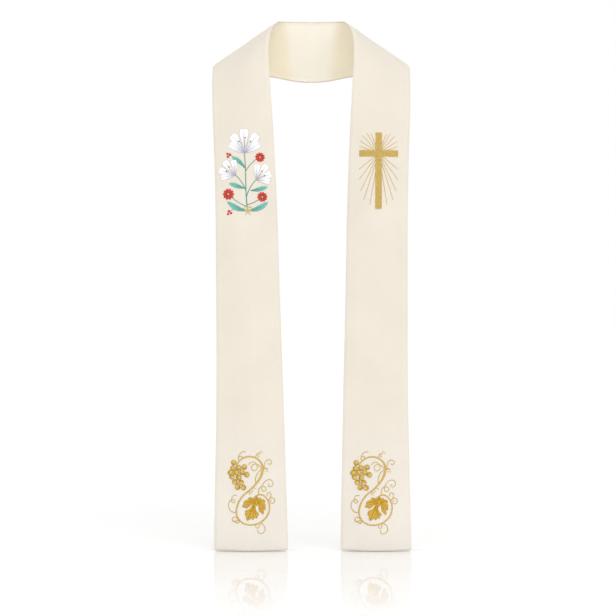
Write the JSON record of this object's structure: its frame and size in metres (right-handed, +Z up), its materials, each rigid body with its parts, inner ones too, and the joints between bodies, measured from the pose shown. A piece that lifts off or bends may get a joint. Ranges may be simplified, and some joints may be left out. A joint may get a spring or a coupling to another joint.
{
  "type": "clerical stole",
  "caption": "Long ivory band worn round the neck, its two flat panels hanging down in front, with gold embroidery; hollow where the neck and shoulders go.",
  "frame": {"origin": "midway between the two straps, on the line where they cross the top of the shoulders", "axes": "+X to the wearer's left, -Y to the front, +Z up"},
  "size_m": [0.443, 0.2396, 1.1949],
  "materials": {
    "face_cloth": "ivory fine twill, soft sheen",
    "lining_cloth": "warm ivory satin",
    "gold_thread": "gold metallic embroidery thread",
    "white_thread": "white and pale lilac embroidery thread, satin sheen",
    "red_thread": "red embroidery thread, satin sheen",
    "teal_thread": "pale teal embroidery thread, satin sheen"
  },
  "bodies": {
    "root": {"face_left": "face_cloth", "face_right": "face_cloth", "lining": "lining_cloth", "cross": "gold_thread"}
  },
  "joints": []
}
